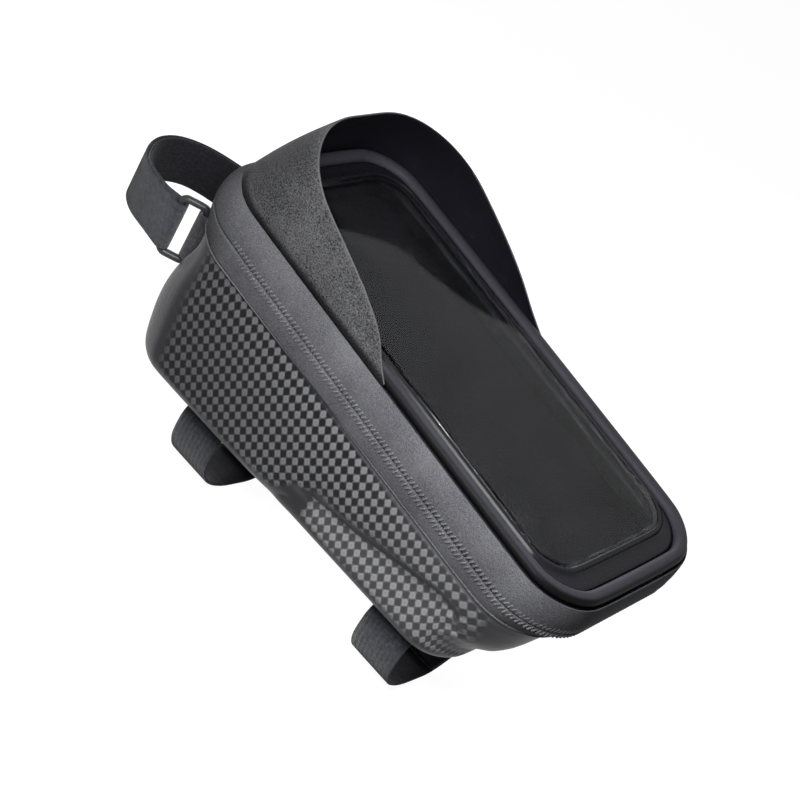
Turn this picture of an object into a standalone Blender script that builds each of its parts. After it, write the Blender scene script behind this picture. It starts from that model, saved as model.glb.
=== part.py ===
"""Frame bag for a bicycle's top tube: a moulded shell with a zipped phone lid.

Metres, +Z up. The origin is the middle of the flat underside that sits on the
top tube. +X points to the rider, -Y is the side with the creased panel.
"""
import functools
import math

import bmesh
import bpy
from mathutils import Matrix, Vector

# The lid plane, called the deck, slopes down to the rider.
# Deck coordinates are u (to the rider), v (to the right) and w (out of the lid).
DECK_SLOPE = math.radians(8.5)
DECK_X = 0.012
DECK_HEIGHT = 0.078
DECK = Matrix.Translation((DECK_X, 0.0, DECK_HEIGHT)) @ Matrix.Rotation(DECK_SLOPE, 4, "Y")

# Outlines in plan: front end, rear end, half width, corner radius.
GROOVE = (-0.0970, 0.0984, 0.0465, 0.0235)
BAND = (-0.1015, 0.0997, 0.0505, 0.0270)
SEAM = (-0.0970, 0.0952, 0.0496, 0.0250)

# Heights above or below the deck.
GROOVE_LEVEL = -0.0012
ZIP_LEVEL = -0.0134
SEAM_LEVEL_FRONT = -0.0240
SEAM_LEVEL_REAR = -0.0205

GAP = 0.0003
CLOTH = 0.0016
ZIP_SLIT = 0.0013
BAND_WAIST = 0.45

# Moulded shell. Each wall row is height share, front end, rear end, half width, corner radius.
SHELL_WALL = 0.0030
SHELL_FILLET = 0.0130
SHELL_LEDGE = 0.0009
RIM_ROOM = 0.0006
WALL_ROWS = (
    (0.00, -0.0920, 0.0825, 0.0428, 0.0190),
    (0.26, -0.0934, 0.0905, 0.0445, 0.0205),
    (0.50, -0.0915, 0.0955, 0.0462, 0.0215),
    (0.76, -0.0866, 0.0990, 0.0479, 0.0230),
)
RECESS_DEPTH = 0.0036
RECESS_FOOT = 0.0012
RECESS_EDGE = 0.0024
RECESS_INNER_EDGE = 0.0055
RECESS_START = 0.0200
RECESS_FADE = 0.0120
CREASE_ROW = 3
CREASE_RUN_IN = 0.0050
CREASE = ((-0.016, 0.000), (-0.006, 0.009), (0.001, 0.019), (0.009, 0.0245), (0.030, 0.0275),
          (0.050, 0.0315), (0.068, 0.0360), (0.077, 0.0345), (0.086, 0.0200), (0.093, 0.000))

# Lid pieces.
ROLL_WIDTH = 0.0058
ROLL_HEIGHT = 0.0050
ROLL_CENTRE = -0.0003
ROLL_CLEARANCE = 0.0007
STIFFENER_THICKNESS = 0.0012
STIFFENER_WIDTH = 0.0098
FRAME_THICKNESS = 0.0012
FRAME_RIM_RISE = 0.0012
WINDOW_FRONT = -0.0842
WINDOW_REAR = 0.0842
WINDOW_HALF_WIDTH = 0.0382
WINDOW_RADIUS = 0.0150
FILM_THICKNESS = 0.0007
FILM_CROWN = 0.0008
FILM_STEP = 0.0012
FILM_SEAT = 0.0018
TRAY_LENGTH = 0.1700
TRAY_ROOM = 0.0035
TRAY_RADIUS = 0.0140
TRAY_BASE = 0.0022
TRAY_WALL = 0.0024
PHONE_SPACE = 0.0092
POCKET_BAND_WIDTH = 0.0200
POCKET_BAND_THICKNESS = 0.0009
POCKET_BAND_SPREAD = 0.0420

# Sun visor: a wall sewn in the groove round the front half, rising to the front.
VISOR_THICKNESS = 0.0008
VISOR_BACK = 0.0000
VISOR_TOP_FRONT = -0.0868
VISOR_TOP_HALF_WIDTH = 0.0431
VISOR_TOP_RADIUS = 0.0340
VISOR_RISE = 0.0100
VISOR_RISE_LENGTH = 0.0150
VISOR_SLOPE = 0.245
VISOR_SWELL = 0.0014
VISOR_LEAN_HEIGHT = 0.0100
VISOR_ROWS = 5
VISOR_SIDE_STEPS = 9

# Zip: coils inside the slit, a slider on the straight run of the right side.
COIL_HEIGHT = 0.0024
COIL_DEPTH = 0.0017
COIL_START = -0.0740
COIL_FLAT = 0.30
COIL_LEAN = 0.38
STOP_LENGTH = 0.0040
HINGE_CLOTH = 0.0009
HINGE_CLOTH_RISE = 0.0035
SLIDER_PLACE = -0.0560
SLIDER_LENGTH = 0.0120
SLIDER_WIDTH = 0.0086
SLIDER_PLATE = 0.0013
SLIDER_ROOM = 0.0006
SLIDER_POST = 0.0007
SLIDER_POST_LENGTH = 0.0036
METAL_EDGE = 0.0004
BAIL_WIRE = 0.0013
BAIL_LENGTH = 0.0078
BAIL_WIDTH = 0.0030
BAIL_RISE = 0.0042
BAIL_SINK = 0.0004
BAIL_STEPS = 10
PULL_AXIS_RISE = 0.0013
PULL_BAR = 0.0014
PULL_LENGTH = 0.0230
PULL_WIDTH = 0.0066
PULL_THICKNESS = 0.0011

# Straps under the shell.
STRAP_WIDTH = 0.0200
STRAP_THICKNESS = 0.0016
STRAP_PLACES = (-0.0510, 0.0540)
STRAP_HALF_SPAN = 0.0290
STRAP_DROP = 0.0360
STRAP_SHOULDER = 0.42
STRAP_TOP_RADIUS = 0.0080
LOOP_START, LOOP_TURN_OUT, LOOP_LIFTED, LOOP_END = -75.0, -95.0, -78.0, -8.0
ANCHOR_LENGTH = 0.0320
ANCHOR_FLANGE = 0.0050
ANCHOR_THICKNESS = 0.0011

# Ring, tab and strap for the head tube at the front.
RING_LENGTH = 0.0140
RING_BAR = 0.0034
RING_ROOM = 0.0004
RING_CORNER = 0.0042
RING_TURN = math.radians(33.5)
RING_STAND = 0.0070
RING_SIDE = -0.0197
RING_MIDDLE = 0.0457
FRONT_STRAP_WIDTH = 0.0205
FRONT_STRAP_THICKNESS = 0.0012
TAB_WIDTH = 0.0200
TAB_THICKNESS = 0.0012
TAB_TAIL = 0.0120
TAB_TAIL_END = -0.0005
TAB_BEND = 0.0050
STRAP_ROWS = 5
STRAP_SEAT = 0.0260
STRAP_SEWN = 0.0100
STRAP_BEND = 0.0040
STRAP_LOOP_DEPTH = 0.0488
STRAP_FREE_END = 0.0200
STRAP_STEP = 0.0040

# Plan of the strap's loop: share of its depth, share of the way across from the ring to the seat.
STRAP_CURVE = ((0.21, 0.95), (0.48, 0.88), (0.74, 0.79), (0.90, 0.69), (0.985, 0.54),
               (1.00, 0.43), (0.965, 0.295), (0.857, 0.142), (0.70, 0.048), (0.48, 0.010))

# Plain looks for each kind of stuff: colour, roughness, metallic.
LOOKS = {
    "moulded shell": ((0.045, 0.045, 0.050), 0.42, 0.0),
    "coated cloth": ((0.050, 0.050, 0.056), 0.60, 0.0),
    "roll cloth": ((0.032, 0.030, 0.038), 0.65, 0.0),
    "board": ((0.020, 0.020, 0.022), 0.80, 0.0),
    "frame plastic": ((0.010, 0.010, 0.012), 0.25, 0.0),
    "clear film": ((0.55, 0.58, 0.60), 0.08, 0.0),
    "visor sheet": ((0.090, 0.090, 0.095), 0.55, 0.0),
    "tray cloth": ((0.016, 0.016, 0.018), 0.85, 0.0),
    "zip plastic": ((0.030, 0.030, 0.033), 0.45, 0.0),
    "zip metal": ((0.060, 0.060, 0.065), 0.35, 0.9),
    "webbing": ((0.040, 0.041, 0.048), 0.80, 0.0),
    "ring plastic": ((0.070, 0.070, 0.074), 0.40, 0.0),
}

# Top of the shell's rim: it runs along the zip, just under the slider.
RIM_LEVEL = ZIP_LEVEL - SLIDER_WIDTH / 2 - RIM_ROOM

# Where the slider's inner plate begins, clear of the teeth and of the band's bend at the rear.
INNER_PLATE = BAND[2] - CLOTH - COIL_DEPTH - 2 * GAP - SLIDER_ROOM

# Pieces that swing up together when the zip is open.
LID = ("upper_zip_band", "zip_coil_upper", "lid_roll", "lid_stiffener", "window_frame", "window_film",
       "sun_visor", "phone_tray", "pocket_band_front", "pocket_band_rear")

# Facets and the least corner radius.
TIGHTEST = 0.0040
END_STEPS = 3
CORNER_STEPS = 6
SIDE_STEPS = 8
SHELL_SIDE_STEPS = 24
FILLET_STEPS = 4
WALL_STEPS = 9
INNER_STEPS = 4
BAR_STEPS = 8


def material(name, colour, roughness, metallic):
    made = bpy.data.materials.new(name)
    made.use_nodes = True
    shader = made.node_tree.nodes["Principled BSDF"]
    shader.inputs["Base Color"].default_value = (*colour, 1.0)
    shader.inputs["Roughness"].default_value = roughness
    shader.inputs["Metallic"].default_value = metallic
    return made


def ease(value):
    """Limit a share to 0 to 1 with soft ends."""
    share = min(max(value, 0.0), 1.0)
    return share * share * (3.0 - 2.0 * share)


def finish(name, bm, look=None, sharp_angle=35.0):
    """Close the mesh, point its faces outwards and link it as an object with its own material."""
    bmesh.ops.remove_doubles(bm, verts=bm.verts, dist=1e-6)
    bmesh.ops.recalc_face_normals(bm, faces=bm.faces)
    mesh = bpy.data.meshes.new(name)
    bm.to_mesh(mesh)
    bm.free()
    mesh.shade_smooth()
    mesh.set_sharp_from_angle(angle=math.radians(sharp_angle))
    if look:
        mesh.materials.append(material(name + "_" + look.replace(" ", "_"), *LOOKS[look]))
    made = bpy.data.objects.new(name, mesh)
    bpy.context.scene.collection.objects.link(made)
    return made


def mix(first, second, share):
    return tuple(a + (b - a) * share for a, b in zip(first, second))


def outline(shape, inset=0.0, side_steps=SIDE_STEPS, tightest=TIGHTEST):
    """Points of a rounded rectangle, from the middle of the front end past the left side."""
    front, rear, half, radius = shape
    front, rear, half = front + inset, rear - inset, half - inset
    radius = max(radius - inset, tightest)
    points = []

    def run(start, end, steps):
        for step in range(steps):
            points.append(mix(start, end, step / steps))

    def corner(u, v, start):
        for step in range(CORNER_STEPS):
            turn = start + math.radians(90.0) * step / CORNER_STEPS
            points.append((u + radius * math.cos(turn), v + radius * math.sin(turn)))

    run((front, 0.0), (front, radius - half), END_STEPS)
    corner(front + radius, radius - half, math.pi)
    run((front + radius, -half), (rear - radius, -half), side_steps)
    corner(rear - radius, radius - half, 1.5 * math.pi)
    run((rear, radius - half), (rear, half - radius), 2 * END_STEPS)
    corner(rear - radius, half - radius, 0.0)
    run((rear - radius, half), (front + radius, half), side_steps)
    corner(front + radius, half - radius, 0.5 * math.pi)
    run((front, half - radius), (front, 0.0), END_STEPS)
    return points


def deck_ring(shape, inset, level, side_steps=SIDE_STEPS):
    """A ring of points on the deck; the level is a number or a function of u."""
    ring = []
    for u, v in outline(shape, inset, side_steps):
        w = level(u) if callable(level) else level
        ring.append(DECK @ Vector((u, v, w)))
    return ring


def seam_level(u, above=0.0):
    share = (u - SEAM[0]) / (SEAM[1] - SEAM[0])
    return SEAM_LEVEL_FRONT + (SEAM_LEVEL_REAR - SEAM_LEVEL_FRONT) * share + above


def loft(bm, rings, joined=False, start_cap=False, end_cap=False):
    """Skin a list of rings that have the same number of points."""
    loops = [[bm.verts.new(point) for point in ring] for ring in rings]
    pairs = list(zip(loops, loops[1:]))
    if joined:
        pairs.append((loops[-1], loops[0]))
    for low, high in pairs:
        count = len(low)
        for i in range(count):
            j = (i + 1) % count
            bm.faces.new((low[i], low[j], high[j], high[i]))
    if start_cap:
        bm.faces.new(list(reversed(loops[0])))
    if end_cap:
        bm.faces.new(loops[-1])
    return loops


def ring_solid(name, section, look, sharp_angle=35.0):
    """A closed hoop. Each section point is an outline, an inset and a level."""
    bm = bmesh.new()
    loft(bm, [deck_ring(shape, inset, level) for shape, inset, level in section], joined=True)
    return finish(name, bm, look, sharp_angle)


def wall_point(rows, column, share):
    """A point between the given rows, on a smooth curve up one column."""
    place = 0
    while place < len(rows) - 2 and share > rows[place + 1][0]:
        place += 1
    low, high = rows[place], rows[place + 1]
    before, after = rows[max(place - 1, 0)], rows[min(place + 2, len(rows) - 1)]
    a, b, c, d = (row[1][column] for row in (before, low, high, after))
    span = high[0] - low[0]
    t = (share - low[0]) / span
    leave = (c - a) * (span / (high[0] - before[0]))
    arrive = (d - b) * (span / (after[0] - low[0]))
    return (b * (2 * t**3 - 3 * t**2 + 1) + leave * (t**3 - 2 * t**2 + t)
            + c * (3 * t**2 - 2 * t**3) + arrive * (t**3 - t**2))


def crease_height(x):
    if x <= CREASE[0][0] or x >= CREASE[-1][0]:
        return 0.0
    for low, high in zip(CREASE, CREASE[1:]):
        if x <= high[0]:
            return mix(low, high, (x - low[0]) / (high[0] - low[0]))[1]
    return 0.0


def recess(point, edge):
    """How far the side panel under the crease steps inwards; it swells out again to its foot."""
    crease = crease_height(point.x)
    below = ease((crease - point.z) / edge + 0.5)
    swell = ease((crease - point.z) / max(crease, edge))
    depth = RECESS_DEPTH + (RECESS_FOOT - RECESS_DEPTH) * swell
    return depth * below * ease((abs(point.y) - RECESS_START) / RECESS_FADE)


def row_share(share, x):
    """Move the wall's even rows so that two of them run along the crease's edges."""
    tall = seam_height(x) - SHELL_FILLET
    crease = (crease_height(x) - SHELL_FILLET) / tall
    half = RECESS_EDGE / 2 / tall
    low_row, high_row = CREASE_ROW / WALL_STEPS, (CREASE_ROW + 1) / WALL_STEPS
    low, high = crease - half, crease + half
    if share <= low_row:
        moved = low * share / low_row
    elif share <= high_row:
        moved = low + (high - low) * (share - low_row) / (high_row - low_row)
    else:
        moved = high + (1.0 - high) * (share - high_row) / (1.0 - high_row)
    return share + (moved - share) * ease((crease_height(x) - SHELL_FILLET) / CREASE_RUN_IN - 1.0)


def seam_height(x):
    """Height of the seam plane over the underside at a place along the bag."""
    front = DECK @ Vector((SEAM[0], 0.0, SEAM_LEVEL_FRONT))
    rear = DECK @ Vector((SEAM[1], 0.0, SEAM_LEVEL_REAR))
    return front.z + (rear.z - front.z) * (x - front.x) / (rear.x - front.x)


def shell_rings(inset, wall_steps, edge):
    """Rings of the shell's wall, from the underside's flat to the seam."""
    rows = []
    for share, *shape in WALL_ROWS:
        ring = []
        for x, y in outline(tuple(shape), inset, SHELL_SIDE_STEPS):
            z = SHELL_FILLET + share * (seam_height(x) - SHELL_FILLET)
            ring.append(Vector((x, y, z)))
        rows.append((share, ring))
    top = deck_ring(SEAM, SHELL_LEDGE + inset, lambda u: seam_level(u, -GAP), SHELL_SIDE_STEPS)
    rows.append((1.0, top))
    wall = []
    for step in range(wall_steps + 1):
        share = step / wall_steps
        wall.append([wall_point(rows, column, row_share(share, foot.x) if wall_steps == WALL_STEPS else share)
                     for column, foot in enumerate(rows[0][1])])
    fillet = []
    bottom = tuple(WALL_ROWS[0][1:])
    radius = SHELL_FILLET - inset
    for step in range(FILLET_STEPS):
        turn = math.radians(90.0) * step / FILLET_STEPS
        narrow = inset + radius * (1.0 - math.sin(turn))
        height = inset + radius * (1.0 - math.cos(turn))
        fillet.append([Vector((x, y, height)) for x, y in outline(bottom, narrow, SHELL_SIDE_STEPS)])
    rings = fillet + wall
    for ring in rings:
        for point in ring:
            point.y -= math.copysign(recess(point, edge), point.y)
    return rings


def make_shell():
    bm = bmesh.new()
    outer = shell_rings(0.0, WALL_STEPS, RECESS_EDGE)
    inner = shell_rings(SHELL_WALL, INNER_STEPS, RECESS_INNER_EDGE)
    lap_inset = SHELL_LEDGE * 2.0
    rim = [deck_ring(SEAM, lap_inset, lambda u: seam_level(u, -GAP), SHELL_SIDE_STEPS),
           deck_ring(SEAM, lap_inset, RIM_LEVEL, SHELL_SIDE_STEPS),
           deck_ring(SEAM, SHELL_LEDGE + SHELL_WALL, RIM_LEVEL, SHELL_SIDE_STEPS)]
    loft(bm, outer + rim + list(reversed(inner)), start_cap=True, end_cap=True)
    finish("shell_body", bm, "moulded shell")


def make_bands():
    low_edge = ZIP_LEVEL - ZIP_SLIT / 2
    high_edge = ZIP_LEVEL + ZIP_SLIT / 2
    waist = mix(BAND, SEAM, BAND_WAIST)
    lower = [(SEAM, 0.0, seam_level),
             (waist, -0.0002, lambda u: (seam_level(u) + low_edge) / 2),
             (BAND, 0.0001, low_edge),
             (BAND, CLOTH, low_edge),
             (waist, CLOTH - 0.0002, lambda u: (seam_level(u) + low_edge) / 2),
             (SEAM, SHELL_LEDGE * 2.0 - GAP, lambda u: seam_level(u, 0.0004)),
             (SEAM, SHELL_LEDGE * 2.0 - GAP, seam_level)]
    shoulder = mix(GROOVE, BAND, 0.80)
    crown = mix(GROOVE, BAND, 0.45)
    upper = [(BAND, 0.0001, high_edge),
             (BAND, 0.0000, -0.0094),
             (shoulder, 0.0000, -0.0056),
             (crown, 0.0000, -0.0028),
             (GROOVE, -0.0004, GROOVE_LEVEL),
             (GROOVE, 0.0004, GROOVE_LEVEL - 0.0008),
             (crown, 0.0011, -0.0040),
             (shoulder, CLOTH, -0.0064),
             (BAND, CLOTH, -0.0096),
             (BAND, CLOTH, high_edge)]
    ring_solid("lower_zip_band", lower, "coated cloth")
    ring_solid("upper_zip_band", upper, "coated cloth")


def make_roll():
    steps = 10
    section = []
    for step in range(steps):
        turn = 2.0 * math.pi * step / steps
        inset = ROLL_CLEARANCE + ROLL_WIDTH / 2 * (1.0 - math.cos(turn))
        section.append((GROOVE, inset, ROLL_CENTRE + ROLL_HEIGHT / 2 * math.sin(turn)))
    ring_solid("lid_roll", section, "roll cloth", sharp_angle=60.0)


def make_stiffener():
    top = ROLL_CENTRE - ROLL_HEIGHT / 2 - GAP
    outer = CLOTH + GAP
    bottom = top - STIFFENER_THICKNESS
    section = [(GROOVE, outer, top), (GROOVE, outer + STIFFENER_WIDTH, top),
               (GROOVE, outer + STIFFENER_WIDTH, bottom), (GROOVE, outer, bottom)]
    ring_solid("lid_stiffener", section, "board")
    return bottom


def make_window():
    """Moulded frame with a stepped rim, and the clear film that lies in it."""
    outer = ROLL_CLEARANCE + ROLL_WIDTH + GAP
    window = (WINDOW_FRONT, WINDOW_REAR, WINDOW_HALF_WIDTH, WINDOW_RADIUS)
    low = ROLL_CENTRE - FRAME_THICKNESS
    flat = low + FRAME_THICKNESS
    rim = flat + FRAME_RIM_RISE
    seat = rim - FILM_THICKNESS - GAP
    section = [(GROOVE, outer, low), (GROOVE, outer, flat),
               (window, -FRAME_RIM_RISE, flat),
               (window, -FRAME_RIM_RISE * 0.6, flat + FRAME_RIM_RISE * 0.5),
               (window, -FRAME_RIM_RISE * 0.2, rim),
               (window, FILM_STEP, rim),
               (window, FILM_STEP, seat),
               (window, FILM_STEP + FILM_SEAT, seat),
               (window, FILM_STEP + FILM_SEAT, low)]
    ring_solid("window_frame", section, "frame plastic")
    bm = bmesh.new()
    edge = FILM_STEP + GAP
    base = rim - FILM_THICKNESS
    reach = WINDOW_HALF_WIDTH - edge
    insets = (0.0, reach * 0.33, reach * 0.70)
    under = [deck_ring(window, edge + inset, base + FILM_CROWN * (inset / reach)) for inset in insets]
    over = [deck_ring(window, edge + inset, rim + FILM_CROWN * (inset / reach)) for inset in insets]
    loft(bm, list(reversed(under)) + over, start_cap=True, end_cap=True)
    finish("window_film", bm, "clear film")


def visor_height(u):
    back = max(VISOR_BACK - u, 0.0)
    return VISOR_RISE * (1.0 - math.exp(-back / VISOR_RISE_LENGTH)) + VISOR_SLOPE * back


def visor_path(front, half, radius):
    """Plan of the visor, from its back end on the left to the middle of the front."""
    straight = VISOR_BACK - (front + radius)
    path = [(VISOR_BACK - straight * step / VISOR_SIDE_STEPS, -half) for step in range(VISOR_SIDE_STEPS)]
    corner_steps = 2 * CORNER_STEPS
    for step in range(corner_steps):
        turn = math.radians(270.0 - 90.0 * step / corner_steps)
        path.append((front + radius + radius * math.cos(turn), radius - half + radius * math.sin(turn)))
    path += [(front, -(half - radius) * (1.0 - step / END_STEPS)) for step in range(END_STEPS + 1)]
    return path


def visor_rows(inset):
    """Rows of points from the groove up to the free edge, left end to right end."""
    front, _, half, radius = GROOVE
    base = visor_path(front + inset, half - inset, radius - inset)
    top = visor_path(VISOR_TOP_FRONT + inset, VISOR_TOP_HALF_WIDTH - inset, VISOR_TOP_RADIUS - inset)
    rows = []
    for row in range(VISOR_ROWS):
        share = row / (VISOR_ROWS - 1)
        left = []
        for (u0, v0), (u1, v1) in zip(base, top):
            height = max(visor_height(u1), VISOR_THICKNESS)
            u1, v1 = mix((u0, v0), (u1, v1), ease(height / VISOR_LEAN_HEIGHT))
            swell = VISOR_SWELL * math.sin(math.pi * share) * min(height / VISOR_RISE, 1.0)
            out = Vector((u0 - (front + radius), v0)).normalized() * swell
            left.append((mix((u0,), (u1,), share)[0] + min(out.x, 0.0), mix((v0,), (v1,), share)[0] + out.y,
                         GROOVE_LEVEL + GAP + height * share))
        right = [(u, -v, w) for u, v, w in reversed(left[:-1])]
        rows.append([DECK @ Vector(point) for point in left + right])
    return rows


def make_visor():
    outside = visor_rows(-VISOR_THICKNESS / 2)
    inside = visor_rows(VISOR_THICKNESS / 2)
    columns = []
    for place in range(len(outside[0])):
        columns.append([row[place] for row in outside] + [row[place] for row in reversed(inside)])
    bm = bmesh.new()
    loft(bm, columns, start_cap=True, end_cap=True)
    finish("sun_visor", bm, "visor sheet")


def make_tray(hung_from):
    """Padded tray under the window, open at its rear end, with two elastic bands round it."""
    half = INNER_PLATE - SLIDER_PLATE - TRAY_ROOM - POCKET_BAND_THICKNESS - GAP
    length = TRAY_LENGTH / 2
    top = hung_from - GAP
    floor = ROLL_CENTRE - FRAME_THICKNESS - PHONE_SPACE
    shape = (-length, length, half, TRAY_RADIUS)
    bm = bmesh.new()
    loft(bm, [deck_ring(shape, 0.0, floor - TRAY_BASE), deck_ring(shape, 0.0, top),
              deck_ring(shape, TRAY_WALL, top), deck_ring(shape, TRAY_WALL, floor)],
         start_cap=True, end_cap=True)
    tray = finish("phone_tray", bm, "tray cloth")
    mouth = box("tray_mouth", (length - TRAY_RADIUS, length + 0.01), (-half + TRAY_WALL, half - TRAY_WALL),
                (floor, top + 0.01), frame=DECK)
    cut(tray, mouth)
    side = half + GAP + POCKET_BAND_THICKNESS / 2
    low = floor - TRAY_BASE - GAP - POCKET_BAND_THICKNESS / 2
    for name, place in (("pocket_band_front", -POCKET_BAND_SPREAD), ("pocket_band_rear", POCKET_BAND_SPREAD)):
        edges = (place - POCKET_BAND_WIDTH / 2, place + POCKET_BAND_WIDTH / 2)
        path = [(-side, top), (-side, low), (side, low), (side, top)]
        extrude_ribbon(name, path, POCKET_BAND_THICKNESS, edges,
                       lambda v, w, u: DECK @ Vector((u, v, w)), "webbing")


def box(name, x_range, y_range, z_range, look=None, frame=None, bevel=0.0):
    """A block between the given limits, with rounded edges if asked."""
    bm = bmesh.new()
    bmesh.ops.create_cube(bm, size=1.0)
    size = [high - low for low, high in (x_range, y_range, z_range)]
    middle = [(high + low) / 2 for low, high in (x_range, y_range, z_range)]
    bmesh.ops.scale(bm, vec=size, verts=bm.verts)
    bmesh.ops.translate(bm, vec=middle, verts=bm.verts)
    if bevel:
        bmesh.ops.bevel(bm, geom=bm.edges[:], offset=bevel, segments=1, affect="EDGES", profile=0.5)
    if frame is not None:
        bmesh.ops.transform(bm, matrix=frame, verts=bm.verts)
    return finish(name, bm, look)


def cut(target, cutter, operation="DIFFERENCE"):
    """Apply a Boolean to the target and keep the cutter as a hidden guide."""
    modifier = target.modifiers.new(cutter.name, "BOOLEAN")
    modifier.operation = operation
    modifier.solver = "EXACT"
    modifier.object = cutter
    cutter.hide_render = True
    cutter.display_type = "WIRE"


def ribbon_sides(path, thickness):
    """Offset a flat path to both sides by half a thickness."""
    left, right = [], []
    for place, (x, y) in enumerate(path):
        before = Vector(path[max(place - 1, 0)])
        after = Vector(path[min(place + 1, len(path) - 1)])
        here = Vector((x, y))
        first = (here - before).normalized() if place > 0 else (after - here).normalized()
        second = (after - here).normalized() if place < len(path) - 1 else first
        along = (first + second).normalized()
        stretch = 1.0 / max(along.dot(first), 0.6)
        side = Vector((-along.y, along.x)) * thickness / 2 * stretch
        left.append(tuple(here + side))
        right.append(tuple(here - side))
    return left, right


def coil_path(shape, inset, level):
    """The part of an outline that the zip follows, from the left to the right front corner."""
    half = shape[2] - inset
    pairs = zip(outline(shape, inset), outline(BAND))
    kept = [point for point, guide in pairs if guide[0] > COIL_START + GAP]
    return [(u, v, level) for u, v in [(COIL_START, -half)] + kept + [(COIL_START, half)]]


def make_coils():
    """Two rows of teeth as bands of six sides; the lower one leans in with its cloth."""
    outer, inner = CLOTH + GAP, CLOTH + GAP + COIL_DEPTH
    middle = (outer + inner) / 2
    low, high = COIL_FLAT, 1.0 - COIL_FLAT
    for name, sign, lean in (("zip_coil_lower", -1.0, COIL_LEAN), ("zip_coil_upper", 1.0, 0.0)):
        near = ZIP_LEVEL + sign * ZIP_SLIT / 2
        section = ((outer, low), (middle, 0.0), (inner, low), (inner, high), (middle, 1.0), (outer, high))
        paths = []
        for inset, share in section:
            path = coil_path(mix(BAND, SEAM, lean * share), inset, near + sign * COIL_HEIGHT * share)
            paths.append([DECK @ Vector(point) for point in path])
        bm = bmesh.new()
        loft(bm, [list(ring) for ring in zip(*paths)], start_cap=True, end_cap=True)
        finish(name, bm, "zip plastic", sharp_angle=50.0)
    cloth_side = BAND[2] - CLOTH - 3 * GAP
    depth = (cloth_side - COIL_DEPTH, cloth_side)
    tall = ZIP_SLIT / 2 + COIL_HEIGHT
    for name, sign in (("zip_end_stop_left", -1.0), ("zip_end_stop_right", 1.0)):
        across = sorted((sign * depth[0], sign * depth[1]))
        box(name, (COIL_START - GAP - STOP_LENGTH, COIL_START - GAP), across,
            (ZIP_LEVEL - tall, ZIP_LEVEL + tall), "zip metal", DECK, bevel=METAL_EDGE)


def make_hinge_cloth():
    """Cloth that joins the two bands round the front, where there is no zip."""
    last = END_STEPS + CORNER_STEPS - 1

    def path(shape, inset):
        left = outline(shape, inset)[:last + 1]
        return list(reversed(left)) + [(u, -v) for u, v in left[1:]]

    tucked = mix(BAND, SEAM, BAND_WAIST)
    low, high = RIM_LEVEL + GAP, ZIP_LEVEL + HINGE_CLOTH_RISE
    edge = ZIP_LEVEL - ZIP_SLIT / 2
    near, far = CLOTH + GAP, CLOTH + GAP + HINGE_CLOTH
    section = ((tucked, near, low), (BAND, near, edge), (BAND, near, high),
               (BAND, far, high), (BAND, far, edge), (tucked, far, low))
    paths = [[DECK @ Vector((u, v, level)) for u, v in path(shape, inset)] for shape, inset, level in section]
    bm = bmesh.new()
    loft(bm, [list(ring) for ring in zip(*paths)], start_cap=True, end_cap=True)
    finish("front_hinge_cloth", bm, "coated cloth")


def make_slider():
    """Two plates joined by a post in the slit, with an arch for the pull."""
    outside = BAND[2] + GAP
    run = (SLIDER_PLACE - SLIDER_LENGTH / 2, SLIDER_PLACE + SLIDER_LENGTH / 2)
    width = (ZIP_LEVEL - SLIDER_WIDTH / 2, ZIP_LEVEL + SLIDER_WIDTH / 2)
    slider = box("zip_slider", run, (outside, outside + SLIDER_PLATE), width, "zip metal", DECK, METAL_EDGE)
    inside = (INNER_PLATE - SLIDER_PLATE, INNER_PLATE)
    inner = box("slider_inner_plate", run, inside, width, None, DECK, METAL_EDGE)
    post = box("slider_post", (run[0] + SLIDER_POST, run[0] + SLIDER_POST + SLIDER_POST_LENGTH),
               (INNER_PLATE - SLIDER_PLATE / 2, outside + SLIDER_PLATE / 2),
               (ZIP_LEVEL - SLIDER_POST / 2, ZIP_LEVEL + SLIDER_POST / 2), frame=DECK)
    face = outside + SLIDER_PLATE
    arch = []
    for step in range(BAIL_STEPS + 1):
        turn = math.pi * step / BAIL_STEPS
        arch.append((SLIDER_PLACE - (BAIL_LENGTH - BAIL_WIRE) / 2 * math.cos(turn),
                     face - BAIL_SINK + BAIL_RISE * math.sin(turn)))
    levels = (ZIP_LEVEL - BAIL_WIDTH / 2, ZIP_LEVEL + BAIL_WIDTH / 2)
    bail = extrude_ribbon("slider_bail", arch, BAIL_WIRE, levels, lambda u, v, w: DECK @ Vector((u, v, w)))
    for piece in (inner, post, bail):
        cut(slider, piece, "UNION")
    hang([slider], "slider_run", DECK @ Vector((SLIDER_PLACE, BAND[2], ZIP_LEVEL)))
    return face


def make_pull(face):
    """Flat tab whose eye goes round the slider's arch; it lies back along the band."""
    axis = face + PULL_AXIS_RISE
    half = PULL_THICKNESS / 2
    start = SLIDER_PLACE - PULL_BAR / 2
    eye_end = SLIDER_PLACE + BAIL_LENGTH / 2 + 2 * GAP
    pull = box("zip_pull", (start, start + PULL_LENGTH), (axis - half, axis + half),
               (ZIP_LEVEL - PULL_WIDTH / 2, ZIP_LEVEL + PULL_WIDTH / 2), "zip metal", DECK, bevel=METAL_EDGE)
    eye = box("pull_eye", (start + PULL_BAR, eye_end), (axis - PULL_THICKNESS, axis + PULL_THICKNESS),
              (ZIP_LEVEL - BAIL_WIDTH / 2 - GAP, ZIP_LEVEL + BAIL_WIDTH / 2 + GAP), frame=DECK)
    cut(pull, eye)
    hang([pull], "pull_axis", DECK @ Vector((SLIDER_PLACE, axis, ZIP_LEVEL)))


def hang(pieces, name, place):
    """Parent pieces to an empty that stands on their joint's axis."""
    empty = bpy.data.objects.new(name, None)
    empty.empty_display_size = 0.01
    empty.location = place
    bpy.context.scene.collection.objects.link(empty)
    for piece in pieces:
        piece.parent = empty
        piece.matrix_parent_inverse = Matrix.Translation(place).inverted()


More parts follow.
